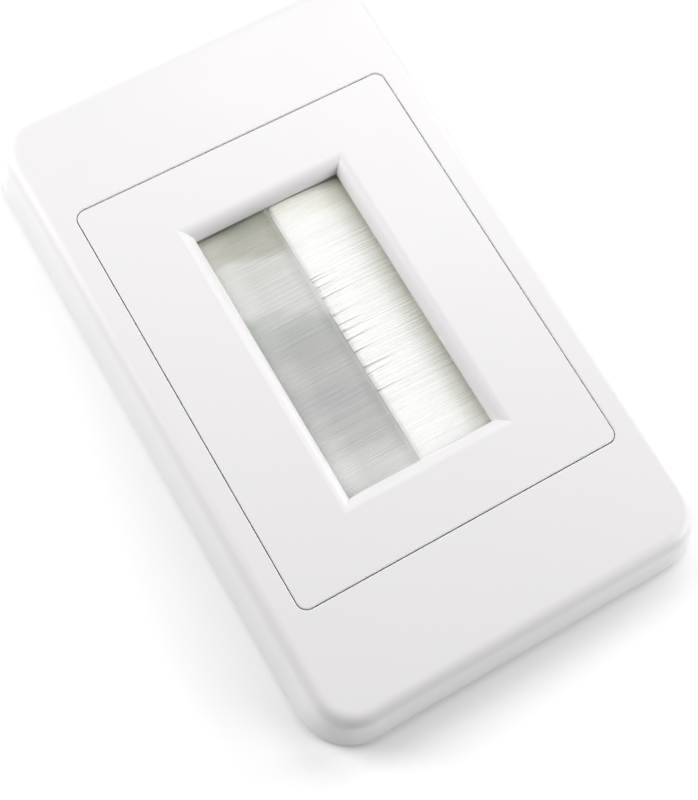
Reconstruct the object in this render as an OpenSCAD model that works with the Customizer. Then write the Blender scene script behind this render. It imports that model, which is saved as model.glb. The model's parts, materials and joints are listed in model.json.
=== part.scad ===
// Single gang wall plate with two rows of bristles that cables pass between.
// It lies on its back: X is the width, Y the length, and Z comes out of the face.
// The origin is the middle of the back, in the plane of the wall. Millimetres.

/* [Surround] */
// Length of the plate over its surround
plate_l = 114; // [108:1:130]
// Width of the plate over its surround
plate_w = 70; // [68:1:86]
// Height of the face above the wall
plate_h = 10; // [9.5:0.5:14]
// Plan radius of the outer corners at the wall
corner_r = 8.5; // [7:0.5:12]
// How far each outer side leans in over the height of the plate
side_draft = 1.5; // [0.5:0.1:2]
// Radius of the rounded outer edge of the face
edge_r = 2.4; // [1.8:0.1:3]
// Thickness of the surround's face and sides
surround_t = 1.8; // [1.4:0.1:2.2]
// Thickness of the rib round the inside edge of the surround
inner_rib_t = 1.2; // [0.8:0.1:1.6]
// Radius of the small round inside the surround, where its side meets its face
inner_edge_r = 0.6; // [0.4:0.1:1]
// Height and depth of the small bevel round the foot of the surround
foot_bevel = 0.5; // [0.2:0.1:0.6]

/* [Centre panel] */
// Width of the surround on each side of the centre panel
side_face_w = 6.8; // [6:0.1:8]
// Plan radius of the panel's corners
panel_corner_r = 1.6; // [1:0.1:3]
// Radius of the soft edge of the panel's face
panel_edge_r = 0.2; // [0.1:0.05:0.5]
// Groove between the panel and the surround
panel_gap = 0.15; // [0.1:0.05:0.4]
// Thickness of the panel's face
panel_t = 2.5; // [2:0.1:2.8]
// Thickness of the panel's side walls
panel_wall_t = 1.6; // [1.2:0.1:1.8]

/* [Cable opening] */
// Width of the panel's face on each side of the opening
side_rim_w = 15.2; // [14.5:0.1:16]
// Length of the panel's face at each end of the opening
end_rim_l = 12.2; // [10:0.1:16]
// Radius of the rounded lip of the opening
lip_r = 2.2; // [0.8:0.1:2.4]

/* [Base flange] */
// Thickness of the flange that lies on the wall
flange_t = 2.4; // [2:0.1:3]
// Gap between the flange and the inside of the surround
flange_gap = 0.3; // [0.2:0.05:0.5]
// Distance between the two wall fixing holes
fixing_span = 84; // [80:0.5:90]
// Distance from the middle of a fixing hole to the centre panel
fixing_setback = 5.4; // [5:0.1:7]
// Diameter of the wall fixing holes
fixing_hole_d = 4.4; // [3.5:0.1:5]
// Diameter of the boss round each fixing hole
fixing_boss_d = 7.2; // [6.6:0.1:8]
// Height of the fixing bosses above the wall
fixing_boss_h = 4; // [3.5:0.1:5]
// Thickness of the stiffening ribs on the flange
rib_t = 1.4; // [1:0.1:2]
// Distance from the middle of the plate to the outer stiffening ribs
rib_x = 18; // [14:0.5:22]

/* [Snap fit] */
// Length of each snap ridge inside the surround
snap_l = 8; // [6:0.5:10]
// Height of each snap ridge
snap_h = 0.9; // [0.6:0.1:1.2]
// How far each snap ridge reaches under the flange
snap_reach = 0.8; // [0.5:0.1:1]
// Clearance round each snap ridge
snap_gap = 0.15; // [0.1:0.05:0.3]
// Distance from the middle of the plate to the snaps on the long sides
snap_y = 38; // [34:1:41]
// Distance from the middle of the plate to the snaps on the short ends
snap_x = 18; // [14:1:19]
// Width of the pry slot in the top end of the surround
pry_w = 8; // [6:0.5:10]
// Height of the pry slot above the wall
pry_h = 1.4; // [1:0.1:1.8]

/* [Brush strips] */
// How far each folded channel runs past the ends of the opening
channel_end_l = 3.8; // [2:0.1:4.5]
// Height of each channel, across the fold
channel_h = 3.6; // [3.2:0.1:4]
// Depth of each channel, from its mouth to its fold
channel_depth = 5; // [4.5:0.1:5.5]
// Thickness of the channel's metal
channel_t = 0.5; // [0.4:0.05:0.6]
// Distance that each channel sits back from the edge of the opening
channel_setback = 0.8; // [0.4:0.1:1.2]
// Diameter of the wire that the bristles are folded round
wire_d = 1.2; // [1:0.1:1.4]
// Clearance between the bristles, their channel and their wire
bristle_gap = 0.05; // [0.03:0.01:0.08]
// Spacing of the bristle tufts
tuft_pitch = 1; // [0.8:0.05:1.4]
// Gap between neighbouring tufts
tuft_gap = 0.1; // [0.06:0.02:0.2]
// Thickness of the bristles at their tips
tip_t = 0.8; // [0.6:0.1:1]
// Height that the right tips rise above the middle of their channel
right_rise = 1.65; // [1.2:0.05:1.8]
// Height that the left tips rise above the middle of their channel
left_rise = 1.3; // [1:0.1:1.7]
// Gap between the left tips and the right tips
meeting_gap = 0.06; // [0.06:0.02:0.3]
// Most that one tuft is shorter than its row
tuft_ragged = 0.15; // [0.1:0.05:0.4]

/* [Clamp bars] */
// How far each clamp bar runs past the ends of its channel
bar_end_l = 2; // [1.5:0.1:2.5]
// Thickness of each clamp bar
bar_t = 2; // [1.6:0.1:2.2]
// Plan radius of the clamp bar's corners
bar_corner_r = 1; // [0.5:0.1:2]
// Gap between a clamp bar and the panel's side wall
bar_gap = 0.8; // [0.5:0.1:1.2]
// Diameter of the bosses that the clamp screws go into
boss_d = 5; // [4.6:0.1:5.2]
// Gap between a boss and the channel beside it
boss_gap = 0.5; // [0.3:0.1:0.8]
// Distance of each clamp screw from the end of its bar
screw_inset = 7.5; // [5:0.5:12]
// Thickness of the stops at the ends of the channels
stop_t = 1.2; // [1:0.1:1.6]
// Clearance at the ends of the channels
stop_gap = 0.2; // [0.1:0.05:0.4]

/* [Clamp screws] */
// Diameter of a clamp screw's shank
screw_d = 2; // [1.8:0.1:2.2]
// Length of a clamp screw under its head
screw_l = 4.8; // [4.4:0.1:5]
// Diameter of a clamp screw's head
head_d = 4; // [3.6:0.1:4.4]
// Height of a clamp screw's head
head_h = 1.2; // [1:0.1:1.4]
// Width of each slot of the cross recess
recess_w = 0.6; // [0.4:0.1:0.8]
// Depth of the cross recess
recess_depth = 0.7; // [0.5:0.05:0.8]
// Clearance of a shank in the clamp bar, all round
bar_hole_gap = 0.2; // [0.1:0.05:0.3]
// Clearance of a shank in its boss, all round
pilot_gap = 0.05; // [0.03:0.01:0.1]

/* [Hidden] */
$fn = 64;
// How far every cut runs past the face that it goes through
overrun = plate_h / 10;
// Shell of the surround, inside
inner_w = plate_w - 2 * surround_t;
inner_l = plate_l - 2 * surround_t;
inner_h = plate_h - surround_t;
inner_corner_r = corner_r - surround_t;
inner_draft = side_draft * inner_h / plate_h;
// Centre panel, as long as the wall fixing holes allow, and the opening in it
panel_w = plate_w - 2 * side_face_w;
panel_l = fixing_span - 2 * fixing_setback;
open_w = panel_w - 2 * side_rim_w;
open_l = panel_l - 2 * end_rim_l;
// Hole in the surround that the centre panel fills
hole_w = panel_w + 2 * panel_gap;
hole_l = panel_l + 2 * panel_gap;
hole_corner_r = panel_corner_r + panel_gap;
// Flange, which stays clear of the leaning inside of the surround at its own top
flange_inset = inner_draft * flange_t / inner_h + flange_gap;
flange_w = inner_w - 2 * flange_inset;
flange_l = inner_l - 2 * flange_inset;
flange_corner_r = inner_corner_r - flange_inset;
// Hollow behind the centre panel
hollow_w = panel_w - 2 * panel_wall_t;
hollow_l = panel_l - 2 * panel_wall_t;
hollow_corner_r = panel_corner_r;
panel_back_z = plate_h - panel_t;
// Stiffening ribs stop just inside the flange's edge
rib_end_y = flange_l / 2 - rib_t;
// Brush strips, with their middle plane half a channel behind the panel's face
mouth_x = open_w / 2 + channel_setback;
strip_z = panel_back_z - channel_h / 2;
channel_l = open_l + 2 * channel_end_l;
strip_l = channel_l - 2 * stop_gap;
bundle_t = channel_h - 2 * channel_t - 2 * bristle_gap;
wire_x = mouth_x + channel_depth - channel_t - bristle_gap - bundle_t / 2;
fold_r = channel_h / 4;
// Tufts start at the mouth of their channel and rise to their tips
tuft_w = tuft_pitch - tuft_gap;
tuft_count = floor((strip_l - tuft_w) / tuft_pitch) + 1;
tuft_reach = mouth_x - meeting_gap / 2;
tuft_wobble_z = tip_t / 8;
// Tufts past the ends of the opening are held down under the panel
free_l = open_l - tuft_pitch - tuft_w;
held_rise = channel_h / 2 - tip_t / 2 - tuft_wobble_z - stop_gap;
// Turn of a sine between one tuft and the next, so that no two neighbours match
wobble_turn = 137.5;
// Where each row starts on that sine
right_start = 0;
left_start = 40;
// Clamp bars lie on the backs of the channels
bar_top_z = panel_back_z - channel_h;
bar_inner_x = mouth_x + channel_t;
bar_outer_x = hollow_w / 2 - bar_gap;
bar_w = bar_outer_x - bar_inner_x;
bar_l = channel_l + 2 * bar_end_l;
screw_x = mouth_x + channel_depth + boss_gap + boss_d / 2;
screw_y = bar_l / 2 - screw_inset;
head_top_z = bar_top_z - bar_t;
pilot_top_z = head_top_z + screw_l + pilot_gap;

// A plan outline with round corners
module rounded_rect(w, l, r) {
    square([w - 2 * r, l], center = true);
    square([w, l - 2 * r], center = true);
    for (x = [-1, 1], y = [-1, 1])
        translate([x * (w / 2 - r), y * (l / 2 - r)]) circle(r);
}

// The side of a slab, from the middle of its plan corner outwards.
// It leans in by draft over its height, its top edge is round, and its foot may be bevelled.
module side_profile(r, h, draft, round_r, below = 0, bevel = 0) {
    side_h = h - bevel;
    slope_l = sqrt(side_h * side_h + draft * draft);
    round_x = r - (round_r * slope_l + (side_h - round_r) * draft) / side_h;
    touch = [round_x + round_r * side_h / slope_l, h - round_r + round_r * draft / slope_l];
    foot = bevel > 0 ? [[r - bevel, 0], [r, bevel]] : [[r + draft * below / h, -below]];
    polygon(concat([[0, -below]], foot, [touch, [round_x, h], [0, h]]));
    translate([round_x, h - round_r]) circle(round_r);
}

// The side of the cutter for a hole, with the round of its lip left standing
module lip_profile(r, low, high, round_r) {
    difference() {
        translate([0, low]) square([r + round_r, high + overrun - low]);
        translate([r, low - overrun])
            square([round_r + overrun, high - round_r - low + overrun]);
        translate([r + round_r, high - round_r]) circle(round_r);
    }
}

// A slab with the given side carried all the way round its plan
module swept_slab(w, l, r, low, high) {
    core_w = w - 2 * r;
    core_l = l - 2 * r;
    translate([-core_w / 2, -core_l / 2, low]) cube([core_w, core_l, high - low]);
    for (turn = [0, 180]) rotate(turn) {
        translate([core_w / 2, 0, 0]) rotate([90, 0, 0])
            linear_extrude(core_l, center = true) children();
        translate([0, core_l / 2, 0]) rotate([90, 0, 90])
            linear_extrude(core_w, center = true) children();
        translate([core_w / 2, core_l / 2, 0])
            rotate_extrude(angle = 90) children();
        translate([-core_w / 2, core_l / 2, 0]) rotate(90)
            rotate_extrude(angle = 90) children();
    }
}

// Puts a copy at each of the eight snap places, with +X pointing out of the plate
module at_snaps(side_x, end_y) {
    for (turn = [0, 180], y = [-snap_y, snap_y])
        rotate(turn) translate([side_x, y, 0]) children();
    for (turn = [90, 270], x = [-snap_x, snap_x])
        rotate(turn) translate([end_y, x, 0]) children();
}

// Puts a copy at each of the four clamp screws
module at_screws() {
    for (x = [-screw_x, screw_x], y = [-screw_y, screw_y])
        translate([x, y, 0]) children();
}

module surround() {
    color([0.93, 0.93, 0.93]) {
        difference() {
            swept_slab(plate_w, plate_l, corner_r, 0, plate_h)
                side_profile(corner_r, plate_h, side_draft, edge_r, bevel = foot_bevel);
            // The inside, less the rib round the hole and the snap ridges, which stay
            difference() {
                swept_slab(inner_w, inner_l, inner_corner_r, -overrun, inner_h)
                    side_profile(inner_corner_r, inner_h, inner_draft, inner_edge_r, overrun);
                translate([0, 0, flange_t]) linear_extrude(plate_h)
                    rounded_rect(hole_w + 2 * inner_rib_t, hole_l + 2 * inner_rib_t,
                        hole_corner_r + inner_rib_t);
                at_snaps(flange_w / 2, flange_l / 2) snap_ridge();
            }
            swept_slab(hole_w, hole_l, hole_corner_r, -overrun, plate_h + overrun)
                lip_profile(hole_corner_r, -overrun, plate_h, panel_edge_r);
            translate([-pry_w / 2, flange_l / 2, -overrun])
                cube([pry_w, plate_l, pry_h + overrun]);
        }
    }
}

// One ridge on the inside of the surround, which clicks under the flange
module snap_ridge() {
    translate([-snap_reach, -snap_l / 2, snap_gap])
        cube([snap_reach + flange_inset + surround_t / 2, snap_l, snap_h]);
}

// The room that one ridge needs in the edge of the flange
module snap_notch() {
    translate([-snap_reach - snap_gap, -snap_l / 2 - snap_gap, -overrun])
        cube([snap_reach + snap_gap + overrun, snap_l + 2 * snap_gap,
            overrun + snap_h + 2 * snap_gap]);
}

module base_plate() {
    color([0.95, 0.95, 0.95]) {
        difference() {
            union() {
                flange();
                centre_box();
                difference() {
                    union() {
                        fixing_bosses();
                        stiffening_ribs();
                    }
                    inner_rib_room();
                }
                screw_bosses();
                channel_stops();
            }
            intersection() {
                lip_cut(open_w, panel_l);
                rotate(90) lip_cut(open_l, panel_w);
            }
            for (y = [-fixing_span / 2, fixing_span / 2])
                translate([0, y, -overrun])
                    cylinder(d = fixing_hole_d, h = fixing_boss_h + 2 * overrun);
            at_screws() translate([0, 0, bar_top_z - overrun])
                cylinder(d = screw_d + 2 * pilot_gap, h = pilot_top_z - bar_top_z + overrun);
            at_snaps(flange_w / 2, flange_l / 2) snap_notch();
        }
    }
}

// A straight cut through the panel's face with a round lip along both sides.
// Two of them, crossed, leave the opening with a mitre in the lip at each corner.
module lip_cut(w, run) {
    rotate([90, 0, 0]) linear_extrude(run, center = true)
        for (side = [0, 1])
            mirror([side, 0]) lip_profile(w / 2, panel_back_z - overrun, plate_h, lip_r);
}

// The flat flange on the wall, open in the middle
module flange() {
    linear_extrude(flange_t) difference() {
        rounded_rect(flange_w, flange_l, flange_corner_r);
        rounded_rect(hollow_w, hollow_l, hollow_corner_r);
    }
}

// The raised panel with its side walls, open at the back
module centre_box() {
    difference() {
        swept_slab(panel_w, panel_l, panel_corner_r, 0, plate_h)
            side_profile(panel_corner_r, plate_h, 0, panel_edge_r);
        translate([0, 0, -overrun]) linear_extrude(panel_back_z + overrun)
            rounded_rect(hollow_w, hollow_l, hollow_corner_r);
    }
}

module fixing_bosses() {
    for (y = [-fixing_span / 2, fixing_span / 2])
        translate([0, y, 0]) cylinder(d = fixing_boss_d, h = fixing_boss_h);
}

// Two ribs beside each fixing hole
module stiffening_ribs() {
    for (x = [-rib_x, rib_x], turn = [0, 180])
        rotate(turn) translate([x - rib_t / 2, panel_l / 2, 0])
            cube([rib_t, rib_end_y - panel_l / 2, fixing_boss_h]);
}

// The room above the flange that the inner rib of the surround comes down into
module inner_rib_room() {
    reach = panel_gap + inner_rib_t + flange_gap;
    translate([0, 0, flange_t]) linear_extrude(plate_h)
        rounded_rect(panel_w + 2 * reach, panel_l + 2 * reach, panel_corner_r + reach);
}

// Bosses behind the panel's face for the clamp screws
module screw_bosses() {
    at_screws() translate([0, 0, bar_top_z])
        cylinder(d = boss_d, h = panel_back_z - bar_top_z + panel_t / 2);
}

// Small stops behind the panel's face that keep the channels in place end to end
module channel_stops() {
    for (turn = [0, 180], y = [-channel_l / 2 - stop_t, channel_l / 2])
        rotate(turn) translate([mouth_x, y, bar_top_z + channel_t])
            cube([channel_depth, stop_t, panel_back_z - bar_top_z]);
}

// A slot outline that is square at its mouth and round at its fold
module fold_outline(depth, h, r) {
    translate([0, -h / 2]) square([depth - r, h]);
    translate([0, r - h / 2]) square([depth, h - 2 * r]);
    for (y = [r - h / 2, h / 2 - r]) translate([depth - r, y]) circle(r);
}

// The folded strip of metal that holds the bristles, seen from its end
module channel_section() {
    difference() {
        fold_outline(channel_depth, channel_h, fold_r);
        translate([-overrun, 0])
            fold_outline(channel_depth - channel_t + overrun, channel_h - 2 * channel_t,
                fold_r - channel_t);
    }
}

// The bristles as they fold round their wire, seen from the end
module bundle_section() {
    difference() {
        union() {
            translate([0, -bundle_t / 2]) square([wire_x - mouth_x, bundle_t]);
            translate([wire_x - mouth_x, 0]) circle(bundle_t / 2);
        }
        translate([wire_x - mouth_x, 0]) circle(wire_d / 2 + bristle_gap);
    }
}

// Carries a section that is drawn from the mouth of the channel along a right hand strip
module along_strip() {
    translate([mouth_x, 0, strip_z]) rotate([90, 0, 0])
        linear_extrude(strip_l, center = true) children();
}

// One tuft, seen from its end, with its root in the bundle and a blunt point
module tuft_section(reach, rise) {
    polygon([
        [channel_t, bundle_t / 2], [0, bundle_t / 2],
        [tip_t / 2 - reach, rise + tip_t / 2], [-reach, rise + tip_t / 4],
        [-reach, rise - tip_t / 4], [tip_t / 2 - reach, rise - tip_t / 2],
        [0, -bundle_t / 2], [channel_t, -bundle_t / 2]
    ]);
}

// A whole row of bristles on the right, whose tufts differ a little from each other
module bristle_row(rise, start) {
    along_strip() bundle_section();
    for (i = [0 : tuft_count - 1]) {
        y = (i - (tuft_count - 1) / 2) * tuft_pitch;
        lift = abs(y) < free_l / 2 ? rise : min(rise, held_rise);
        short = tuft_ragged * (1 + sin(start + i * wobble_turn)) / 2;
        wobble = tuft_wobble_z * cos(start + i * i * wobble_turn);
        translate([mouth_x, y, strip_z]) rotate([90, 0, 0])
            linear_extrude(tuft_w, center = true)
                tuft_section(tuft_reach - short, lift + wobble);
    }
}

// A straight bar across the backs of one channel and its two bosses
module clamp_bar() {
    translate([bar_inner_x + bar_w / 2, 0, head_top_z]) difference() {
        linear_extrude(bar_t) rounded_rect(bar_w, bar_l, bar_corner_r);
        for (y = [-screw_y, screw_y])
            translate([screw_x - bar_inner_x - bar_w / 2, y, -overrun])
                cylinder(d = screw_d + 2 * bar_hole_gap, h = bar_t + 2 * overrun);
    }
}

// A pan head screw that points up into its boss, with a cross recess in its head
module clamp_screw() {
    point_l = screw_d / 2;
    difference() {
        union() {
            translate([0, 0, head_top_z - head_h]) pan_head();
            translate([0, 0, head_top_z - head_h / 2])
                cylinder(d = screw_d, h = screw_l + head_h / 2 - point_l);
            translate([0, 0, head_top_z + screw_l - point_l])
                cylinder(d1 = screw_d, d2 = screw_d / 4, h = point_l);
        }
        for (turn = [0, 90])
            translate([0, 0, head_top_z - head_h - overrun]) rotate(turn)
                translate([-head_d / 4, -recess_w / 2, 0])
                    cube([head_d / 2, recess_w, overrun + recess_depth]);
    }
}

// The head of a screw, flat on the bar and round at its outer edge
module pan_head() {
    round_r = head_h * 0.6;
    rotate_extrude() {
        translate([0, round_r]) square([head_d / 2, head_h - round_r]);
        square([head_d / 2 - round_r, head_h]);
        intersection() {
            translate([head_d / 2 - round_r, round_r]) circle(round_r);
            square([head_d / 2, head_h]);
        }
    }
}

module left_channel() {
    color([0.74, 0.75, 0.76]) mirror([1, 0, 0]) along_strip() channel_section();
}

module right_channel() {
    color([0.74, 0.75, 0.76]) along_strip() channel_section();
}

module core_wire() {
    translate([wire_x, 0, strip_z]) rotate([90, 0, 0])
        cylinder(d = wire_d, h = strip_l, center = true);
}

module left_core_wire() {
    color([0.6, 0.61, 0.62]) mirror([1, 0, 0]) core_wire();
}

module right_core_wire() {
    color([0.6, 0.61, 0.62]) core_wire();
}

module left_bristles() {
    color([0.84, 0.85, 0.83]) mirror([1, 0, 0]) bristle_row(left_rise, left_start);
}

module right_bristles() {
    color([0.97, 0.97, 0.94]) bristle_row(right_rise, right_start);
}

module left_clamp_bar() {
    color([0.86, 0.86, 0.86]) mirror([1, 0, 0]) clamp_bar();
}

module right_clamp_bar() {
    color([0.86, 0.86, 0.86]) clamp_bar();
}

module clamp_screws() {
    color([0.7, 0.7, 0.71])
        for (x = [-screw_x, screw_x], y = [-screw_y, screw_y])
            translate([x, y, 0]) clamp_screw();
}

surround();
base_plate();
left_channel();
right_channel();
left_core_wire();
right_core_wire();
left_bristles();
right_bristles();
left_clamp_bar();
right_clamp_bar();
clamp_screws();
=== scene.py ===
"""The finish of a single gang wall plate with two rows of bristles, and its studio."""

import json
import math

import bpy
import numpy as np
from bpy.props import FloatProperty, FloatVectorProperty, IntProperty, PointerProperty
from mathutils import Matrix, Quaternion, Vector


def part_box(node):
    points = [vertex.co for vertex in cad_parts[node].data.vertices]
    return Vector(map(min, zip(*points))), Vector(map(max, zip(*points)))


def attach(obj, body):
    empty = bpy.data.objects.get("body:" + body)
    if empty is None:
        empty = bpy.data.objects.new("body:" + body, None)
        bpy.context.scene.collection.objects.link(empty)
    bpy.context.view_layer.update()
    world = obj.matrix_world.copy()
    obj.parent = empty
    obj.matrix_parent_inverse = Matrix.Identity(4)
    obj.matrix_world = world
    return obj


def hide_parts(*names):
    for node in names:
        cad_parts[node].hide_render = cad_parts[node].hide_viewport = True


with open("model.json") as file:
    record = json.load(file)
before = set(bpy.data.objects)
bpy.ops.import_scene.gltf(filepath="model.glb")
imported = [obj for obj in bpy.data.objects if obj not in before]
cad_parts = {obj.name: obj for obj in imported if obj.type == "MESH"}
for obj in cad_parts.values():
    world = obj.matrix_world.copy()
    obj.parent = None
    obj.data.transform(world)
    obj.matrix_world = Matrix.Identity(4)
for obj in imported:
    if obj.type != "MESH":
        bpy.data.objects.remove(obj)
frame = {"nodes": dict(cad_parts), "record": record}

bl_info = {
    "name": "Brush wall plate finish",
    "version": (1, 0, 0),
    "blender": (4, 5, 0),
    "location": "View3D > Sidebar > Wall plate",
    "description": "Dresses a clip-on wall plate and its two rows of bristles, and lights them",
    "category": "Object",
}

BODY = "root"
MM = 0.001


def measured():
    """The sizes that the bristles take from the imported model, in metres."""
    channel_low, channel_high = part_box("right_channel")
    wire_low, wire_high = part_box("right_core_wire")
    right_low, right_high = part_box("right_bristles")
    left_low, left_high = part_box("left_bristles")
    opening = frame["record"]["physics"]["openings"][0]["box_m"]
    wire_x = (wire_low.x + wire_high.x) / 2
    return {
        "mouth_x": channel_low.x,
        "under_panel_z": channel_high.z,
        "strip_z": (channel_low.z + channel_high.z) / 2,
        "wire_x": wire_x,
        "wire_r": (wire_high.x - wire_low.x) / 2,
        "bundle_r": right_high.x - wire_x,
        "half_l": right_high.y,
        "tip_x": right_low.x,
        "right_top_z": right_high.z,
        "left_top_z": left_high.z,
        "open_half_l": opening[1][1],
    }


SIZES = measured()

# Gap between the plate and the floor under it
FLOOR_GAP = 0.02 * MM
# Past the stated opening's end, where the filaments start to be held down under the panel
HOLD_START = 0.09 * MM
HOLD_LENGTH = 0.04 * MM
# Levels of the filaments of each layer, from 0 in the middle of the row to 1 at its surface
OUTER_LEVELS = (0.86, 0.885)
SECOND_LEVELS = (0.62, 0.65)
INNER_LEVELS = (0.02, 0.58)
# Scatter of the filaments of a layer, as a share of their spacing
SCATTER_SHARE = 0.05
# Sides of one filament
FILAMENT_SIDES = 3
# Rings of a leg, as shares of its way from the tip to the channel
RING_SHARES = np.array([0, 0.06, 0.13, 0.22, 0.4, 0.7, 1.0])
# Turns of a fold round its wire, from the leg above to the leg below
FOLD_TURNS = np.radians([90, 30, -30, -90])
# Gap between the innermost folds and their wire
WIRE_GAP = 0.03 * MM
# Powers of a filament's bend along its length, of the dying out of its lean towards the ends of
# the row, and of the spread of the shorter filaments
BEND_POWER = 2
END_POWER = 4
RAGGED_POWER = 2
# Length of the waves that fan the tips, in lengths of the waves along the row
FAN_WAVES = 2
# Heights that a wave needs besides one for each whole step along the row
SPARE_HEIGHTS = 3
# Where the partings start and end, from the middle as shares of half the opening's length
PARTING_TOP_SHARE = 0.42
PARTING_LOW_SHARE = -0.48
# Power that crowds the partings towards the top
PARTING_CROWD = 1.4
# The least parting, as shares of the widest and of the longest
LEAST_WIDTH_SHARE = 0.35
LEAST_LENGTH_SHARE = 0.5
# How far a parting pushes the filaments beside it, in widths of its own
PUSH_WIDTHS = 2

# Ranges in which most of the values of a noise lie
CALM_NOISE = (0.3, 0.7)
OPEN_NOISE = (0.25, 0.75)
WIDE_NOISE = (0.2, 0.8)
# Stretch of the lines in drawn metal, of the tone of single filaments and of the drift of bands
LINE_STRETCH = (1, 0.03, 1)
FILAMENT_STRETCH = (0.02, 1, 0.6)
DRIFT_STRETCH = (0.35, 1, 0)
# Sizes of the dull patches on metal, of the bands' drift and of the clouds on the floor
PATCH_SIZE = 6 * MM
DRIFT_SIZE = 5 * MM
CLOUD_SIZE = 0.4
# How far the bands drift to either side, and how much they slant across a row
DRIFT_REACH = 3 * MM
BAND_SLANT = 0.35
# How much darker plastic gets in its flow marks, metal in its lines, nylon in its dark filaments
# and the floor in its clouds
FLOW_SHADE = 0.012
LINE_SHADE = 0.14
FILAMENT_SHADE = 0.03
CLOUD_SHADE = 0.01
# How much the roughness falls and rises over plastic, metal and nylon
FLOW_GLOSS = (-0.025, 0.025)
PATCH_GLOSS = (-0.06, 0.08)
FILAMENT_GLOSS = (-0.05, 0.1)
# Depth of the lines in drawn metal
LINE_DEPTH = 0.004 * MM
WHITE = (1, 1, 1)

# Number of softboxes, and width of the camera's sensor in millimetres
SOFTBOXES = 5
SENSOR_W = 36
# Nearest thing that the camera shows
CLIP_START = 10 * MM

# Soft bands of painted light and shade across each row: shares of the opening's length from its bottom
# end, and their tint. On the left row they stand in for its changing shade, with painted shade at its top
# end under the opening's top wall; the right row has painted shade at its top end.
RIGHT_SHADING_BANDS = (
    (0.0, (0.97, 0.97, 0.97)), (0.08, (1.0, 1.0, 1.0)), (0.9, (1.0, 1.0, 1.0)), (1.0, (0.93, 0.92, 0.86)))
LEFT_SHADING_BANDS = (
    (0.0, (1.04, 1.04, 1.04)), (0.13, (0.8, 0.8, 0.8)), (0.26, (0.73, 0.74, 0.74)),
    (0.35, (0.8, 0.81, 0.8)), (0.44, (0.73, 0.74, 0.73)), (0.52, (0.73, 0.75, 0.72)),
    (0.63, (1.02, 1.03, 1.0)), (0.79, (1.0, 1.0, 0.97)), (0.87, (0.74, 0.73, 0.65)),
    (0.97, (0.58, 0.6, 0.5)))


class MouldingSettings(bpy.types.PropertyGroup):
    """Finish of the moulded plastic pieces"""

    plastic: FloatVectorProperty(
        name="Plastic", description="Colour of the surround and the panel",
        subtype="COLOR", size=3, min=0, max=1, default=(0.747, 0.733, 0.742))
    bar_plastic: FloatVectorProperty(
        name="Bar plastic", description="Colour of the clamp bars",
        subtype="COLOR", size=3, min=0, max=1, default=(0.72, 0.72, 0.71))
    roughness: FloatProperty(
        name="Roughness", description="Roughness of the satin face",
        subtype="FACTOR", min=0, max=1, default=0.36)
    bar_roughness: FloatProperty(
        name="Bar roughness", description="Roughness of the clamp bars",
        subtype="FACTOR", min=0, max=1, default=0.5)
    grain_size: FloatProperty(
        name="Grain size", description="Width of one grain of the spark finish of the mould",
        unit="LENGTH", min=0.05 * MM, max=2 * MM, default=0.22 * MM)
    grain_depth: FloatProperty(
        name="Grain depth", description="Depth of the grain of the mould",
        unit="LENGTH", min=0, max=0.05 * MM, default=0.0025 * MM)
    flow_size: FloatProperty(
        name="Flow size", description="Size of the faint flow marks in the plastic",
        unit="LENGTH", min=2 * MM, max=100 * MM, default=22 * MM)


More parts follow.
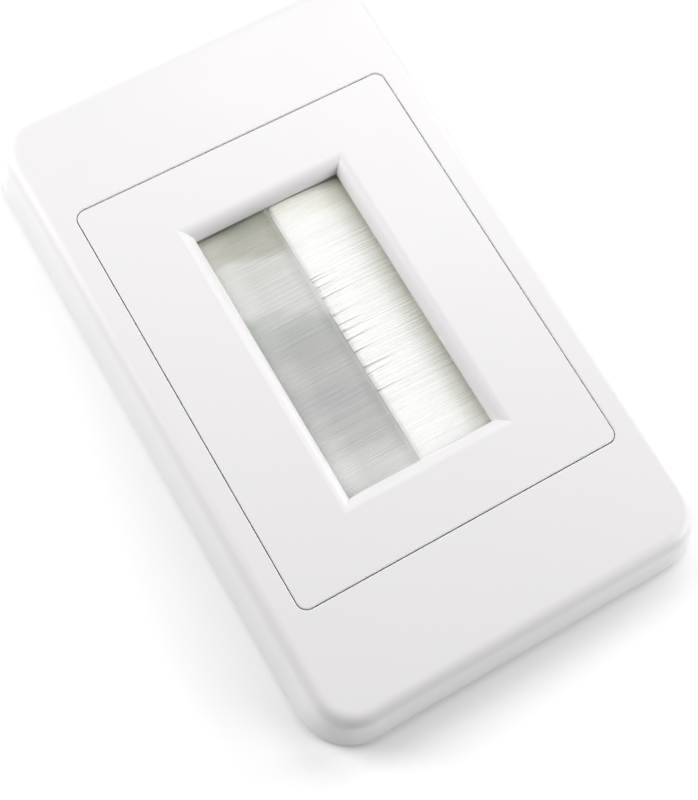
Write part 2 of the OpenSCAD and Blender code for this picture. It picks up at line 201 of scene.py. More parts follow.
class BristleSettings(bpy.types.PropertyGroup):
    """Shape and finish of the two rows of bristles"""

    filament_d: FloatProperty(
        name="Filament diameter", description="Diameter of one nylon filament",
        unit="LENGTH", min=0.1 * MM, max=0.3 * MM, default=0.16 * MM)
    pitch_share: FloatProperty(
        name="Pitch", description="Spacing of the filaments of a layer, as a share of their diameter",
        subtype="FACTOR", min=0.7, max=1.5, default=0.78)
    inner: IntProperty(
        name="Inner filaments", description="Loose filaments inside each row",
        min=0, max=800, default=520)
    lean: FloatProperty(
        name="Lean", description="How far the tip of a filament lies to either side of its place",
        unit="LENGTH", min=0, max=0.1 * MM, default=0.006 * MM)
    tip_t: FloatProperty(
        name="Tip thickness", description="Thickness of a row at its tips",
        unit="LENGTH", min=0.3 * MM, max=1.2 * MM, default=0.8 * MM)
    ragged: FloatProperty(
        name="Ragged tips", description="Most that one filament is shorter than its row",
        unit="LENGTH", min=0, max=1 * MM, default=0.04 * MM)
    tip_reach: FloatProperty(
        name="Tip reach", description="How far the tips come into the gap between the rows",
        unit="LENGTH", min=0, max=0.05 * MM, default=0.02 * MM)
    overlap: FloatProperty(
        name="Overlap", description="How far the top layer of the right row lies over the left row",
        unit="LENGTH", min=0, max=1 * MM, default=0.12 * MM)
    droop: FloatProperty(
        name="Droop", description="How far the tips of the right row bend down to the left row",
        unit="LENGTH", min=0, max=0.5 * MM, default=0.33 * MM)
    droop_l: FloatProperty(
        name="Droop length", description="Length of the right row's tips that bends down",
        unit="LENGTH", min=0.2 * MM, max=5 * MM, default=3 * MM)
    fan: FloatProperty(
        name="Fan", description="How far the tips of neighbouring stretches lean together or apart",
        unit="LENGTH", min=0, max=2 * MM, default=0.3 * MM)
    wave_l: FloatProperty(
        name="Wave length", description="Mean distance between the soft waves along a row",
        unit="LENGTH", min=1 * MM, max=20 * MM, default=9 * MM)
    wave_h: FloatProperty(
        name="Wave height", description="Height of the soft waves along a row",
        unit="LENGTH", min=0, max=0.5 * MM, default=0.05 * MM)
    partings: IntProperty(
        name="Partings", description="Thin partings between the tips of the right row",
        min=0, max=80, default=14)
    parting_w: FloatProperty(
        name="Parting width", description="Width of the widest parting, at the tips",
        unit="LENGTH", min=0, max=1 * MM, default=0.28 * MM)
    parting_l: FloatProperty(
        name="Parting length", description="Length of the longest parting",
        unit="LENGTH", min=1 * MM, max=12 * MM, default=6.5 * MM)
    # The rows are one nylon: the right row's near white is its own white raised a little as painted
    # highlight, the left row's grey is painted shade.
    right_lit_colour: FloatVectorProperty(
        name="Right nylon", description="Colour of the right row",
        subtype="COLOR", size=3, min=0, max=1, default=(0.985, 0.985, 0.965))
    left_shaded_colour: FloatVectorProperty(
        name="Left nylon", description="Colour of the left row",
        subtype="COLOR", size=3, min=0, max=1, default=(0.71, 0.71, 0.70))
    # Root tints are painted: the right row's olive tint is painted shade at the foot of the opening's
    # right wall, and the left row's tint above 1 is painted light that lifts the shade beside the left
    # lip.
    right_root_shade_tint: FloatVectorProperty(
        name="Right root tint", description="Tint of the right row towards its root",
        subtype="COLOR", size=3, min=0, max=2, default=(0.8, 0.8, 0.71))
    left_root_light_tint: FloatVectorProperty(
        name="Left root tint", description="Tint of the left row towards its root",
        subtype="COLOR", size=3, min=0, max=2, default=(1.3, 1.3, 1.3))
    right_root_shade_start: FloatProperty(
        name="Right root start", description="Distance from the tips where the right row's tint starts",
        unit="LENGTH", min=0, max=20 * MM, default=8.5 * MM)
    left_root_light_start: FloatProperty(
        name="Left root start", description="Distance from the tips where the left row's tint starts",
        unit="LENGTH", min=0, max=20 * MM, default=8 * MM)
    right_root_shade_l: FloatProperty(
        name="Right root length", description="Length over which the right row takes its root tint",
        unit="LENGTH", min=1 * MM, max=20 * MM, default=5 * MM)
    left_root_light_l: FloatProperty(
        name="Left root length", description="Length over which the left row takes its root tint",
        unit="LENGTH", min=1 * MM, max=20 * MM, default=5.5 * MM)
    # The left tip tint is a painted shadow of the right row's tips, which lie over the left row.
    left_tip_shadow_tint: FloatVectorProperty(
        name="Left tip tint", description="Tint of the left row beside the tips that lie over it",
        subtype="COLOR", size=3, min=0, max=2, default=(0.82, 0.82, 0.82))
    left_tip_shadow_l: FloatProperty(
        name="Left tip length", description="Length over which the left row loses its tip tint",
        unit="LENGTH", min=0.2 * MM, max=5 * MM, default=2.4 * MM)
    roughness: FloatProperty(
        name="Roughness", description="Roughness of the drawn nylon",
        subtype="FACTOR", min=0, max=1, default=0.35)
    seed: IntProperty(
        name="Seed", description="Start of the chance in the bristles", min=0, default=11)


class MetalSettings(bpy.types.PropertyGroup):
    """Finish of the channels, wires and screws"""

    channel: FloatVectorProperty(
        name="Channel", description="Colour of the folded aluminium channels",
        subtype="COLOR", size=3, min=0, max=1, default=(0.80, 0.81, 0.82))
    channel_roughness: FloatProperty(
        name="Channel roughness", description="Roughness of the aluminium",
        subtype="FACTOR", min=0, max=1, default=0.38)
    channel_line: FloatProperty(
        name="Channel lines", description="Width of the lines left by rolling the aluminium",
        unit="LENGTH", min=0.01 * MM, default=0.12 * MM)
    wire: FloatVectorProperty(
        name="Wire", description="Colour of the steel core wires",
        subtype="COLOR", size=3, min=0, max=1, default=(0.55, 0.55, 0.56))
    wire_roughness: FloatProperty(
        name="Wire roughness", description="Roughness of the steel",
        subtype="FACTOR", min=0, max=1, default=0.3)
    wire_line: FloatProperty(
        name="Wire lines", description="Width of the lines left by drawing the wire",
        unit="LENGTH", min=0.01 * MM, default=0.08 * MM)
    screw: FloatVectorProperty(
        name="Screw", description="Colour of the zinc on the screws",
        subtype="COLOR", size=3, min=0, max=1, default=(0.72, 0.73, 0.75))
    screw_roughness: FloatProperty(
        name="Screw roughness", description="Roughness of the zinc",
        subtype="FACTOR", min=0, max=1, default=0.26)
    screw_line: FloatProperty(
        name="Screw lines", description="Width of the faint lines in the zinc",
        unit="LENGTH", min=0.01 * MM, default=0.2 * MM)


class StudioSettings(bpy.types.PropertyGroup):
    """Camera, floor and lights"""

    aim: FloatVectorProperty(
        name="Aim", description="Point of the face that the camera looks at",
        subtype="TRANSLATION", unit="LENGTH", size=3,
        default=(-5.46 * MM, -11.18 * MM, 10 * MM))
    azimuth: FloatProperty(
        name="Azimuth", description="Turn of the camera round the plate, from its bottom end",
        subtype="ANGLE", unit="ROTATION", default=math.radians(-42.76))
    elevation: FloatProperty(
        name="Elevation", description="Height of the camera above the table, as an angle",
        subtype="ANGLE", unit="ROTATION", default=math.radians(70.04))
    roll: FloatProperty(
        name="Roll", description="Turn of the camera about the way it looks",
        subtype="ANGLE", unit="ROTATION", default=math.radians(13.34))
    distance: FloatProperty(
        name="Distance", description="Distance from the camera to its aim",
        unit="LENGTH", min=0.05, default=249.35 * MM)
    lens: FloatProperty(
        name="Lens", description="Focal length on a sensor 36 mm wide",
        unit="CAMERA", min=10, default=72.78)
    floor: FloatVectorProperty(
        name="Floor", description="Colour of the floor",
        subtype="COLOR", size=3, min=0, max=1, default=(0.93, 0.93, 0.93))
    floor_glow: FloatProperty(
        name="Floor glow", description="Light that the floor gives by itself",
        min=0, max=2, default=0.113)
    # The foot glow and its reach paint a contact shadow on the floor: its own glow falls away round the
    # plate's foot.
    foot_shadow_glow: FloatProperty(
        name="Foot glow", description="Light that the floor gives by itself at the foot of the plate",
        min=0, max=2, default=0)
    foot_shadow_reach: FloatProperty(
        name="Foot reach", description="Distance from the foot over which the floor's light comes up",
        unit="LENGTH", min=0.1 * MM, default=1.2 * MM)
    foot_corner_r: FloatProperty(
        name="Foot corner radius", description="Radius of the plate's corners at the floor",
        unit="LENGTH", min=0, default=8.5 * MM)
    floor_half: FloatProperty(
        name="Floor half width", description="Distance from the plate to each side of the floor",
        unit="LENGTH", min=1, default=12)
    far_glow: FloatProperty(
        name="Far floor glow", description="Light that the floor gives by itself far from the plate",
        min=0, max=2, default=0.75)
    glow_start: FloatProperty(
        name="Far glow start", description="Distance from the plate where the far glow starts",
        unit="LENGTH", min=0.1, default=0.25)
    glow_end: FloatProperty(
        name="Far glow end", description="Distance from the plate where the far glow is full",
        unit="LENGTH", min=0.2, default=0.7)
    box_azimuths: FloatVectorProperty(
        name="Softbox azimuths", description="Way to each softbox, from the plate's right side",
        unit="ROTATION", size=SOFTBOXES, default=[math.radians(a) for a in (0, 45, 135, 135, 315)])
    box_elevations: FloatVectorProperty(
        name="Softbox elevations", description="Height of each softbox above the table, as an angle",
        unit="ROTATION", size=SOFTBOXES, default=[math.radians(a) for a in (25, 50, 25, 50, 25)])
    box_powers: FloatVectorProperty(
        name="Softbox powers", description="Power of each softbox, in watts",
        size=SOFTBOXES, min=0, unit="POWER", default=(1.02, 0.63, 1.14, 0.72, 0.89))
    box_distance: FloatProperty(
        name="Softbox distance", description="Distance from the plate to each softbox",
        unit="LENGTH", min=0.1, default=0.46)
    box_size: FloatProperty(
        name="Softbox size", description="Width of each softbox",
        unit="LENGTH", min=0.02, default=0.24)
    sky: FloatProperty(
        name="Room light", description="Strength of the even white light of the room",
        min=0, max=4, default=0.16)


GROUPS = {
    "plate_moulding": MouldingSettings,
    "plate_bristles": BristleSettings,
    "plate_metal": MetalSettings,
    "plate_studio": StudioSettings,
}


def new_group(name, inputs, outputs):
    """An empty shader node group with float or vector inputs and float outputs."""
    group = bpy.data.node_groups.new(name, "ShaderNodeTree")
    for label, kind, value in inputs:
        socket = group.interface.new_socket(name=label, in_out="INPUT", socket_type=kind)
        if value is not None:
            socket.default_value = value
    for label in outputs:
        group.interface.new_socket(name=label, in_out="OUTPUT", socket_type="NodeSocketFloat")
    source = group.nodes.new("NodeGroupInput")
    sink = group.nodes.new("NodeGroupOutput")
    return group, source, sink


def feed(tree, socket, value):
    """Gives an input another socket's value, or a value of its own."""
    if isinstance(value, bpy.types.NodeSocket):
        tree.links.new(value, socket)
    elif value is not None:
        socket.default_value = value


def noise_node(tree, place, scale, detail, rough):
    """A noise texture at a place; its scale is a socket or a number."""
    node = tree.nodes.new("ShaderNodeTexNoise")
    tree.links.new(place, node.inputs["Vector"])
    feed(tree, node.inputs["Scale"], scale)
    node.inputs["Detail"].default_value = detail
    node.inputs["Roughness"].default_value = rough
    return node.outputs["Fac"]


def maths(tree, operation, first, second=None):
    """One math node; each input is a socket or a number."""
    node = tree.nodes.new("ShaderNodeMath")
    node.operation = operation
    feed(tree, node.inputs[0], first)
    feed(tree, node.inputs[1], second)
    return node.outputs[0]


def vector_maths(tree, operation, first, second=None, output="Vector"):
    """One vector math node; each input is a socket or three numbers."""
    node = tree.nodes.new("ShaderNodeVectorMath")
    node.operation = operation
    feed(tree, node.inputs[0], first)
    feed(tree, node.inputs[1], second)
    return node.outputs[output]


def spread(tree, value, low, high, to_low, to_high):
    """A value carried from one range to another, and held at its ends."""
    node = tree.nodes.new("ShaderNodeMapRange")
    tree.links.new(value, node.inputs["Value"])
    limits = {"From Min": low, "From Max": high, "To Min": to_low, "To Max": to_high}
    for label, limit in limits.items():
        node.inputs[label].default_value = limit
    return node.outputs["Result"]


def mixed(tree, share, first, second):
    """A colour between two colours; each is a socket or three numbers."""
    node = tree.nodes.new("ShaderNodeMix")
    node.data_type = "RGBA"
    tree.links.new(share, node.inputs["Factor"])
    colours = [s for s in node.inputs if s.type == "RGBA"]
    for socket, value in zip(colours, (first, second)):
        feed(tree, socket, value if isinstance(value, bpy.types.NodeSocket) else (*value, 1))
    return next(s for s in node.outputs if s.type == "RGBA")


def multiplied(tree, first, second):
    """A place or a colour times another or three numbers, axis by axis or channel by channel."""
    return vector_maths(tree, "MULTIPLY", first, second)


def mould_finish():
    """Grain of the mould and faint flow marks, for every moulded piece."""
    name = "Mould finish"
    if name in bpy.data.node_groups:
        return bpy.data.node_groups[name]
    group, source, sink = new_group(
        name,
        [("Place", "NodeSocketVector", None), ("Grain Scale", "NodeSocketFloat", 1 / MM),
         ("Flow Scale", "NodeSocketFloat", 1 / (20 * MM))],
        ["Grain", "Flow"])
    place = source.outputs["Place"]
    grain = noise_node(group, place, source.outputs["Grain Scale"], detail=2, rough=0.6)
    flow = noise_node(group, place, source.outputs["Flow Scale"], detail=3, rough=0.5)
    group.links.new(grain, sink.inputs["Grain"])
    group.links.new(spread(group, flow, *CALM_NOISE, 0, 1), sink.inputs["Flow"])
    return group


def drawn_lines():
    """Fine lines left by drawing or rolling, which run along the second axis."""
    name = "Drawn lines"
    if name in bpy.data.node_groups:
        return bpy.data.node_groups[name]
    group, source, sink = new_group(
        name,
        [("Place", "NodeSocketVector", None), ("Line Scale", "NodeSocketFloat", 1 / MM)],
        ["Lines", "Patches"])
    along = multiplied(group, source.outputs["Place"], LINE_STRETCH)
    lines = noise_node(group, along, source.outputs["Line Scale"], detail=3, rough=0.6)
    patches = noise_node(group, source.outputs["Place"], 1 / PATCH_SIZE, detail=2, rough=0.5)
    group.links.new(spread(group, lines, *OPEN_NOISE, 0, 1), sink.inputs["Lines"])
    group.links.new(spread(group, patches, *CALM_NOISE, 0, 1), sink.inputs["Patches"])
    return group


def filament_tone():
    """Tone of nylon from filament to filament, and the masks of painted light and shade: the place along
    its row, its root and its tip.
    """
    name = "Filament tone"
    if name in bpy.data.node_groups:
        return bpy.data.node_groups[name]
    group, source, sink = new_group(
        name,
        [("Place", "NodeSocketVector", None), ("Filament Scale", "NodeSocketFloat", 1 / MM),
         ("Row Length", "NodeSocketFloat", 50 * MM), ("Band Slant", "NodeSocketFloat", BAND_SLANT),
         ("Root Start", "NodeSocketFloat", 9 * MM), ("Root End", "NodeSocketFloat", 15 * MM),
         ("Tip Length", "NodeSocketFloat", 2 * MM)],
        ["Filament", "Along", "Root", "Tip"])
    place = source.outputs["Place"]
    fine = multiplied(group, place, FILAMENT_STRETCH)
    filament = noise_node(group, fine, source.outputs["Filament Scale"], detail=1, rough=0.5)
    axes = group.nodes.new("ShaderNodeSeparateXYZ")
    group.links.new(place, axes.inputs[0])
    slanted = maths(group, "MULTIPLY", axes.outputs["X"], source.outputs["Band Slant"])
    along = maths(group, "ADD", axes.outputs["Y"], slanted)
    across = multiplied(group, place, DRIFT_STRETCH)
    drift = noise_node(group, across, 1 / DRIFT_SIZE, detail=2, rough=0.5)
    drifted = maths(
        group, "ADD", along, spread(group, drift, *WIDE_NOISE, -DRIFT_REACH, DRIFT_REACH))
    share = maths(group, "DIVIDE", drifted, source.outputs["Row Length"])
    outward = maths(group, "ABSOLUTE", axes.outputs["X"])
    # Root mask: where the painted root shade and light come in, by distance from the tips
    span = maths(group, "SUBTRACT", source.outputs["Root End"], source.outputs["Root Start"])
    past = maths(group, "SUBTRACT", outward, source.outputs["Root Start"])
    root = maths(group, "DIVIDE", past, span)
    # Tip mask: where the painted shadow of the overlapping tips falls, by distance from the tips
    tip = maths(group, "DIVIDE", outward, source.outputs["Tip Length"])
    group.links.new(spread(group, filament, *CALM_NOISE, 0, 1), sink.inputs["Filament"])
    group.links.new(maths(group, "ADD", share, 0.5), sink.inputs["Along"])
    group.links.new(spread(group, root, 0, 1, 0, 1), sink.inputs["Root"])
    group.links.new(spread(group, tip, 0, 1, 1, 0), sink.inputs["Tip"])
    return group


def new_material(name, **constants):
    """A material with its principled shader, and its constants set on the shader's sockets."""
    material = bpy.data.materials.new(name)
    material.use_nodes = True
    shader = material.node_tree.nodes["Principled BSDF"]
    for label, value in constants.items():
        shader.inputs[label.replace("_", " ")].default_value = value
    return material, material.node_tree, shader


def placed(tree, group, values):
    """An effect placed in a material, read at the piece's own place."""
    place = tree.nodes.new("ShaderNodeTexCoord").outputs["Object"]
    node = tree.nodes.new("ShaderNodeGroup")
    node.node_tree = group
    tree.links.new(place, node.inputs["Place"])
    for label, value in values.items():
        node.inputs[label].default_value = value
    return node.outputs


def bumped(tree, shader, height, depth):
    """Bump of a depth, from a height between 0 and 1."""
    bump = tree.nodes.new("ShaderNodeBump")
    bump.inputs["Strength"].default_value = 1.0
    bump.inputs["Distance"].default_value = depth
    tree.links.new(height, bump.inputs["Height"])
    tree.links.new(bump.outputs["Normal"], shader.inputs["Normal"])


def shaded(colour, share):
    """A colour made darker by a share."""
    return tuple(channel * (1 - share) for channel in colour)


def glossed(tree, shader, share, roughness, change):
    """Roughness that goes from its least to its most as the share goes from 0 to 1."""
    gloss = spread(tree, share, 0, 1, roughness + change[0], roughness + change[1])
    tree.links.new(gloss, shader.inputs["Roughness"])


def moulded_plastic(name, colour, roughness, settings):
    """White moulded plastic with a fine even grain and faint flow marks."""
    material, tree, shader = new_material(name, IOR=1.52)
    finish = placed(tree, mould_finish(), {
        "Grain Scale": 1 / settings.grain_size, "Flow Scale": 1 / settings.flow_size})
    colours = mixed(tree, finish["Flow"], colour, shaded(colour, FLOW_SHADE))
    tree.links.new(colours, shader.inputs["Base Color"])
    glossed(tree, shader, finish["Flow"], roughness, FLOW_GLOSS)
    bumped(tree, shader, finish["Grain"], settings.grain_depth)
    return material


def drawn_metal(name, colour, roughness, line_size):
    """Bare metal with the fine lines of its drawing or rolling."""
    material, tree, shader = new_material(name, Metallic=1.0)
    finish = placed(tree, drawn_lines(), {"Line Scale": 1 / line_size})
    colours = mixed(tree, finish["Lines"], colour, shaded(colour, LINE_SHADE))
    tree.links.new(colours, shader.inputs["Base Color"])
    glossed(tree, shader, finish["Patches"], roughness, PATCH_GLOSS)
    bumped(tree, shader, finish["Lines"], LINE_DEPTH)
    return material


def banded(tree, share, stops, colour):
    """A colour tinted along a share, easing between a few stops of place and tint."""
    ramp = tree.nodes.new("ShaderNodeValToRGB")
    ramp.color_ramp.interpolation = "EASE"
    points = ramp.color_ramp.elements
    while len(points) < len(stops):
        points.new(1)
    for point, (place, tint) in zip(points, stops):
        point.position = place
        point.color = (*tint, 1)
    tree.links.new(share, ramp.inputs["Fac"])
    return multiplied(tree, ramp.outputs["Color"], colour)


def nylon(name, row, settings):
    """Drawn nylon, a little different from filament to filament, with soft stripes of painted light and
    shade across its row, painted light and shade towards its root and a painted shadow beside the tips
    that lie over it.
    """
    colour = row["colour"]
    root_light_and_shade_tint, root_light_and_shade_start, root_light_and_shade_l = row["root"]
    tip_shadow_tint, tip_shadow_l = row["tip"]
    material, tree, shader = new_material(name, IOR=1.53)
    tones = placed(tree, filament_tone(), {
        "Filament Scale": 1 / (2 * settings.filament_d), "Row Length": 2 * SIZES["open_half_l"],
        "Root Start": root_light_and_shade_start, "Root End": root_light_and_shade_start + root_light_and_shade_l, "Tip Length": tip_shadow_l})
    streaked = mixed(tree, tones["Filament"], colour, shaded(colour, FILAMENT_SHADE))
    # Painted light and shade in soft bands along the row
    tinted = banded(tree, tones["Along"], row["bands"], streaked)
    # Painted shade towards the right row's root, painted light towards the left row's root
    root_lit_and_shaded = multiplied(tree, tinted, mixed(tree, tones["Root"], WHITE, root_light_and_shade_tint))
    # Painted shadow on the left row beside the right row's tips; the right row's tint is white, so it gets
    # none
    tip_shadowed = multiplied(tree, root_lit_and_shaded, mixed(tree, tones["Tip"], WHITE, tip_shadow_tint))
    tree.links.new(tip_shadowed, shader.inputs["Base Color"])
    glossed(tree, shader, tones["Filament"], settings.roughness, FILAMENT_GLOSS)
    return material


def wear(node_name, material):
    """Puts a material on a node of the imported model."""
    node = frame["nodes"][node_name]
    for slot in node.material_slots:
        slot.material = material


def new_piece(name, vertices, faces, material, replaced=()):
    """A mesh of smooth sides and flat ends that rides on the plate and wears its slot."""
    mesh = bpy.data.meshes.new(name)
    mesh.from_pydata(vertices, [], faces)
    mesh.materials.append(material)
    mesh.polygons.foreach_set("use_smooth", [len(face) == 4 for face in faces])
    mesh.validate()
    piece = bpy.data.objects.new(name, mesh)
    bpy.context.scene.collection.objects.link(piece)
    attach(piece, BODY)
    if replaced:
        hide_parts(*replaced)
    return piece


def tubes(paths, radius, sides):
    """Tubes of one radius, a flat side up, along many paths of equal length."""
    count, rings = paths.shape[:2]
    ways = np.gradient(paths, axis=1)
    ways /= np.linalg.norm(ways, axis=2, keepdims=True)
    across = np.broadcast_to([0.0, 1.0, 0.0], ways.shape)
    across = across - (across * ways).sum(2, keepdims=True) * ways
    across /= np.linalg.norm(across, axis=2, keepdims=True)
    upward = np.cross(ways, across)
    turns = np.arange(sides) * 2 * math.pi / sides + math.pi / 2 - math.pi / sides
    ring = np.cos(turns)[:, None] * across[:, :, None] + np.sin(turns)[:, None] * upward[:, :, None]
    vertices = paths[:, :, None] + radius * ring
    index = np.arange(count * rings * sides).reshape(count, rings, sides)
    near, far = index[:, :-1], index[:, 1:]
    quads = np.stack([near, far, np.roll(far, -1, 2), np.roll(near, -1, 2)], 3).reshape(-1, 4)
    starts = index[:, 0]
    ends = index[:, -1, ::-1]
    faces = quads.tolist() + starts.tolist() + ends.tolist()
    return vertices.reshape(-1, 3).tolist(), faces


def eased(value, low, high):
    """0 below low, 1 above high, and smooth between."""
    share = np.clip((value - low) / (high - low), 0, 1)
    return share * share * (3 - 2 * share)


def soft_wave(chance, y, step):
    """A smooth wave along the row, between 0 and 1, with a new height at each step."""
    heights = chance.uniform(0, 1, int(2 * SIZES["half_l"] / step) + SPARE_HEIGHTS)
    along = (y + SIZES["half_l"]) / step
    first = along.astype(int)
    share = eased(along - first, 0, 1)
    return heights[first] * (1 - share) + heights[first + 1] * share


def layers(chance, settings):
    """Where the filaments of a row stand: two closed layers, and loose ones within.

    Each has its root along the row, its level, from 0 in the middle to 1 outside, and its lean."""
    limit = SIZES["half_l"] - settings.filament_d / 2
    pitch = settings.filament_d * settings.pitch_share
    even = np.arange(-limit, limit, pitch)
    count = len(even)
    scatter = SCATTER_SHARE * pitch
    outer = even + chance.normal(0, scatter, count)
    second = even + pitch / 2 + chance.normal(0, scatter, count)
    inner = chance.uniform(-limit, limit, settings.inner)
    roots = np.clip(np.concatenate([outer, second, inner]), -limit, limit)
    level = np.concatenate([
        chance.uniform(*OUTER_LEVELS, count), chance.uniform(*SECOND_LEVELS, count),
        chance.uniform(*INNER_LEVELS, settings.inner)])
    return roots, level, chance.normal(0, settings.lean, len(roots))


def partings(chance, y, from_tip, level, count, settings):
    """How far the partings between the tips push each ring of each filament aside.

    They part both closed layers, and leave the loose filaments within alone."""
    shift = np.zeros((len(y), len(from_tip)))
    free = (np.abs(level) >= SECOND_LEVELS[0])[:, None]
    low = PARTING_LOW_SHARE * SIZES["open_half_l"]
    high = PARTING_TOP_SHARE * SIZES["open_half_l"]
    shares = (np.arange(count) + chance.uniform(0, 1, count)) / max(count, 1)
    for place in high - (high - low) * shares ** PARTING_CROWD:
        width = settings.parting_w * chance.uniform(LEAST_WIDTH_SHARE, 1)
        length = settings.parting_l * chance.uniform(LEAST_LENGTH_SHARE, 1)
        off = (y - place)[:, None]
        near = np.clip(1 - from_tip / length, 0, 1)[None, :]
        push = np.exp(-np.abs(off) / (PUSH_WIDTHS * width))
        shift += free * np.sign(off) * width / 2 * push * near
    return shift


def leg(chance, roots, level, lean, overlap, row, settings):
    """One leg of each fold, from its tip to its channel, as rings of x, y and z."""
    radius = settings.filament_d / 2
    half_t = settings.tip_t / 2 - radius
    middle_z = row["top_z"] - settings.tip_t / 2
    near = (1 - RING_SHARES)[None, :]
    mouth_x = SIZES["mouth_x"]
    on_top = level >= OUTER_LEVELS[0]
    tip_x = SIZES["tip_x"] - settings.tip_reach - overlap * on_top
    tip_x = tip_x + settings.ragged * chance.uniform(0, 1, len(roots)) ** RAGGED_POWER
    fan = settings.fan * (soft_wave(chance, roots, FAN_WAVES * settings.wave_l) - 0.5)
    bend = (fan + lean) * (1 - (roots / SIZES["half_l"]) ** END_POWER)
    wave = settings.wave_h * soft_wave(chance, roots, settings.wave_l)
    tip_z = middle_z + level * half_t - np.sign(level) * wave
    held_z = SIZES["under_panel_z"] - settings.tip_t / 2 + level * half_t
    edge_y = SIZES["open_half_l"] + HOLD_START
    held = eased(np.abs(roots + bend), edge_y, edge_y + HOLD_LENGTH)
    tip_z = tip_z * (1 - held) + np.minimum(tip_z, held_z) * held
    mouth_z = SIZES["strip_z"] + level * (SIZES["bundle_r"] - radius)
    x = tip_x[:, None] + RING_SHARES[None, :] * (mouth_x - tip_x)[:, None]
    y = roots[:, None] + bend[:, None] * near ** BEND_POWER
    from_tip = RING_SHARES * (mouth_x - SIZES["tip_x"])
    y = y + partings(chance, roots + bend, from_tip, level, row["partings"], settings)
    z = mouth_z[:, None] + (tip_z - mouth_z)[:, None] * near
    bent = np.clip(1 - from_tip / settings.droop_l, 0, 1) ** BEND_POWER
    z = z - row["droop"] * (1 - held)[:, None] * bent[None, :]
    limit = SIZES["half_l"] - radius
    return np.stack([x, np.clip(y, -limit, limit), z], 2)


def folds(chance, row, settings):
    """Paths of a row on the right: each goes in from a tip, round the wire and back to a tip."""
    radius = settings.filament_d / 2
    roots, level, lean = layers(chance, settings)
    over = leg(chance, roots, level, lean, row["overlap"], row, settings)
    under = leg(chance, roots, -level, lean, 0, row, settings)
    tight = SIZES["wire_r"] + radius + WIRE_GAP
    round_r = tight + (SIZES["bundle_r"] - radius - tight) * level
    bend_x = SIZES["wire_x"] + round_r[:, None] * np.cos(FOLD_TURNS)
    bend_z = SIZES["strip_z"] + round_r[:, None] * np.sin(FOLD_TURNS)
    bend_y = np.broadcast_to(roots[:, None], bend_x.shape)
    bend = np.stack([bend_x, bend_y, bend_z], 2)
    return np.concatenate([over, bend, under[:, ::-1]], 1)


def both_rows(settings):
    """What differs between the rows, among them their painted light and shade. A root is a tint of painted
    light and shade, a start and a length, a tip the tint of a painted shadow and a length.
    """
    return {
        "right": {
            "side": 1, "top_z": SIZES["right_top_z"], "overlap": settings.overlap,
            "droop": settings.droop, "partings": settings.partings,
            "colour": settings.right_lit_colour, "bands": RIGHT_SHADING_BANDS,
            "root": (settings.right_root_shade_tint, settings.right_root_shade_start, settings.right_root_shade_l),
            "tip": (WHITE, settings.left_tip_shadow_l)},
        "left": {
            "side": -1, "top_z": SIZES["left_top_z"], "overlap": 0,
            "droop": 0, "partings": 0,
            "colour": settings.left_shaded_colour, "bands": LEFT_SHADING_BANDS,
            "root": (settings.left_root_light_tint, settings.left_root_light_start, settings.left_root_light_l),
            "tip": (settings.left_tip_shadow_tint, settings.left_tip_shadow_l)},
    }


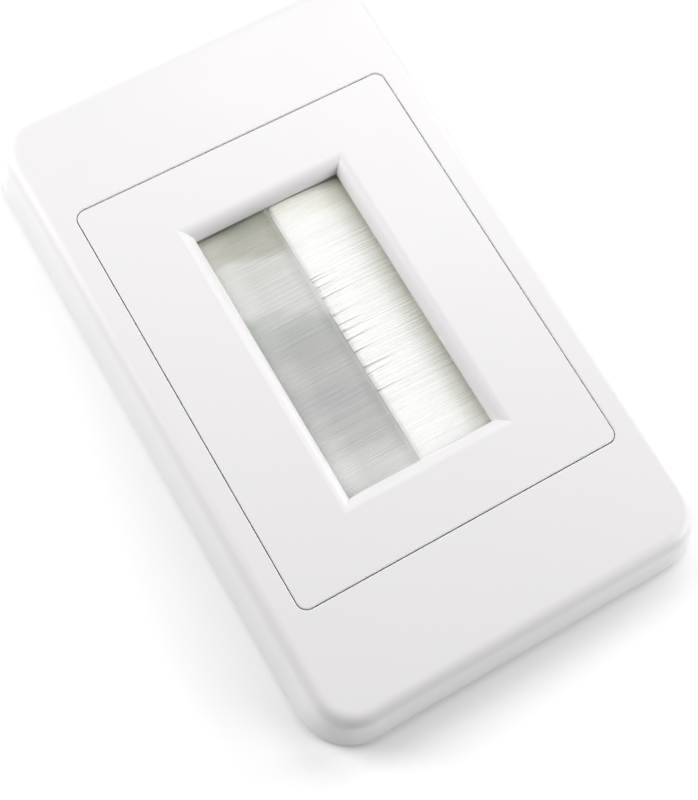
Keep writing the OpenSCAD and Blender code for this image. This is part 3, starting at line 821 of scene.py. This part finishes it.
class PLATE_OT_stage(bpy.types.Operator):
    """Makes the floor, the soft lights and the camera"""

    bl_idname = "plate.stage"
    bl_label = "Studio"

    def execute(self, context):
        settings = context.scene.plate_studio
        self.floor(context, settings)
        self.lights(context, settings)
        self.camera(context, settings)
        context.scene.view_settings.view_transform = "Standard"
        return {"FINISHED"}

    def floor(self, context, settings):
        half = settings.floor_half
        under = -FLOOR_GAP
        corners = [(-half, -half, under), (half, -half, under), (half, half, under), (-half, half, under)]
        mesh = bpy.data.meshes.new("floor")
        mesh.from_pydata(corners, [], [(0, 1, 2, 3)])
        material, tree, shader = new_material(
            "floor paint", Roughness=0.9, Specular_IOR_Level=0.0, Emission_Color=(*WHITE, 1))
        place = tree.nodes.new("ShaderNodeTexCoord").outputs["Object"]
        clouds = noise_node(tree, place, 1 / CLOUD_SIZE, detail=2, rough=0.5)
        colours = mixed(tree, clouds, settings.floor, shaded(settings.floor, CLOUD_SHADE))
        tree.links.new(colours, shader.inputs["Base Color"])
        distance = vector_maths(tree, "LENGTH", place, output="Value")
        glow = spread(
            tree, distance, settings.glow_start, settings.glow_end,
            settings.floor_glow, settings.far_glow)
        # Painted contact shadow: the floor's glow falls to the foot glow, none by default, at the outline
        # of the plate's foot.
        near = spread(
            tree, self.from_foot(tree, place, settings.foot_corner_r), 0, settings.foot_shadow_reach,
            settings.foot_shadow_glow / settings.floor_glow, 1)
        tree.links.new(maths(tree, "MULTIPLY", glow, near), shader.inputs["Emission Strength"])
        mesh.materials.append(material)
        floor = bpy.data.objects.new("floor", mesh)
        context.scene.collection.objects.link(floor)

    def from_foot(self, tree, place, corner_r):
        """Distance on the floor from the outline of the plate's foot."""
        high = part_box("surround")[1]
        flat = multiplied(tree, vector_maths(tree, "ABSOLUTE", place), (1, 1, 0))
        inset = vector_maths(tree, "SUBTRACT", flat, (high.x - corner_r, high.y - corner_r, 0))
        past = vector_maths(tree, "MAXIMUM", inset, (0, 0, 0))
        distance = vector_maths(tree, "LENGTH", past, output="Value")
        return maths(tree, "SUBTRACT", distance, corner_r)

    def lights(self, context, settings):
        boxes = zip(settings.box_azimuths, settings.box_elevations, settings.box_powers)
        for azimuth, elevation, power in boxes:
            data = bpy.data.lights.new("softbox", "AREA")
            data.shape = "SQUARE"
            data.size = settings.box_size
            data.energy = power
            softbox = bpy.data.objects.new("softbox", data)
            flat = math.cos(elevation)
            way = Vector((math.cos(azimuth) * flat, math.sin(azimuth) * flat, math.sin(elevation)))
            softbox.location = way * settings.box_distance
            softbox.rotation_mode = "QUATERNION"
            softbox.rotation_quaternion = (-way).to_track_quat("-Z", "Y")
            context.scene.collection.objects.link(softbox)
        world = bpy.data.worlds.new("room")
        world.use_nodes = True
        sky = world.node_tree.nodes["Background"]
        sky.inputs["Color"].default_value = (*WHITE, 1)
        sky.inputs["Strength"].default_value = settings.sky
        context.scene.world = world

    def camera(self, context, settings):
        data = bpy.data.cameras.new("camera")
        data.sensor_width = SENSOR_W
        data.lens = settings.lens
        data.clip_start = CLIP_START
        camera = bpy.data.objects.new("camera", data)
        flat = math.cos(settings.elevation)
        back = Vector((
            math.sin(settings.azimuth) * flat, -math.cos(settings.azimuth) * flat,
            math.sin(settings.elevation)))
        camera.location = Vector(settings.aim) + back * settings.distance
        camera.rotation_mode = "QUATERNION"
        level = (-back).to_track_quat("-Z", "Y")
        camera.rotation_quaternion = level @ Quaternion((0, 0, 1), settings.roll)
        context.scene.collection.objects.link(camera)
        context.scene.camera = camera


class PLATE_OT_moulding(bpy.types.Operator):
    """Gives the surround and the base plate their satin white plastic"""

    bl_idname = "plate.moulding"
    bl_label = "Surround and base plate"

    def execute(self, context):
        settings = context.scene.plate_moulding
        for name in ("surround", "base_plate"):
            wear(name, moulded_plastic(name, settings.plastic, settings.roughness, settings))
        return {"FINISHED"}


class PLATE_OT_bristles(bpy.types.Operator):
    """Builds both rows of bristles, filament by filament"""

    bl_idname = "plate.bristles"
    bl_label = "Rows of bristles"

    def execute(self, context):
        settings = context.scene.plate_bristles
        for name, row in both_rows(settings).items():
            chance = np.random.default_rng(settings.seed + row["side"])
            paths = folds(chance, row, settings) * [row["side"], 1, 1]
            if row["side"] < 0:
                paths = paths[:, ::-1]
            vertices, faces = tubes(paths, settings.filament_d / 2, FILAMENT_SIDES)
            material = nylon(f"{name} nylon", row, settings)
            new_piece(f"{name}_filaments", vertices, faces, material,
                      [f"{name}_bristles"])
        return {"FINISHED"}


class PLATE_OT_strips(bpy.types.Operator):
    """Gives the folded channels and their core wires their metal"""

    bl_idname = "plate.strips"
    bl_label = "Channels and core wires"

    def execute(self, context):
        settings = context.scene.plate_metal
        channel = drawn_metal(
            "rolled aluminium", settings.channel, settings.channel_roughness, settings.channel_line)
        wire = drawn_metal(
            "drawn steel", settings.wire, settings.wire_roughness, settings.wire_line)
        for side in ("left", "right"):
            wear(f"{side}_channel", channel)
            wear(f"{side}_core_wire", wire)
        return {"FINISHED"}


class PLATE_OT_clamps(bpy.types.Operator):
    """Gives the clamp bars their matt plastic"""

    bl_idname = "plate.clamps"
    bl_label = "Clamp bars"

    def execute(self, context):
        settings = context.scene.plate_moulding
        material = moulded_plastic(
            "bar plastic", settings.bar_plastic, settings.bar_roughness, settings)
        for side in ("left", "right"):
            wear(f"{side}_clamp_bar", material)
        return {"FINISHED"}


class PLATE_OT_screws(bpy.types.Operator):
    """Gives the clamp screws their bright zinc"""

    bl_idname = "plate.screws"
    bl_label = "Clamp screws"

    def execute(self, context):
        settings = context.scene.plate_metal
        wear("clamp_screws", drawn_metal(
            "bright zinc", settings.screw, settings.screw_roughness, settings.screw_line))
        return {"FINISHED"}


class PLATE_PT_panel(bpy.types.Panel):
    """Lists the steps and their settings"""

    bl_idname = "PLATE_PT_panel"
    bl_label = "Wall plate"
    bl_space_type = "VIEW_3D"
    bl_region_type = "UI"
    bl_category = "Wall plate"

    def draw(self, context):
        for step in STEPS:
            self.layout.operator(step.bl_idname)
        for label in GROUPS:
            box = self.layout.box()
            settings = getattr(context.scene, label)
            for prop in settings.bl_rna.properties:
                if prop.identifier not in ("name", "rna_type"):
                    box.prop(settings, prop.identifier)


STEPS = (
    PLATE_OT_stage,
    PLATE_OT_moulding,
    PLATE_OT_bristles,
    PLATE_OT_strips,
    PLATE_OT_clamps,
    PLATE_OT_screws,
)


def register():
    """Adds the settings, the steps and the panel."""
    for group in GROUPS.values():
        bpy.utils.register_class(group)
    for label, group in GROUPS.items():
        setattr(bpy.types.Scene, label, PointerProperty(type=group))
    for step in STEPS:
        bpy.utils.register_class(step)
    bpy.utils.register_class(PLATE_PT_panel)


def unregister():
    """Takes away the panel, the steps and the settings."""
    bpy.utils.unregister_class(PLATE_PT_panel)
    for step in reversed(STEPS):
        bpy.utils.unregister_class(step)
    for label, group in reversed(list(GROUPS.items())):
        delattr(bpy.types.Scene, label)
        bpy.utils.unregister_class(group)


def main():
    """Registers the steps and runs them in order."""
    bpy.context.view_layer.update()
    register()
    bpy.ops.plate.stage()
    bpy.ops.plate.moulding()
    bpy.ops.plate.bristles()
    bpy.ops.plate.strips()
    bpy.ops.plate.clamps()
    bpy.ops.plate.screws()


if __name__ == "__main__":
    main()
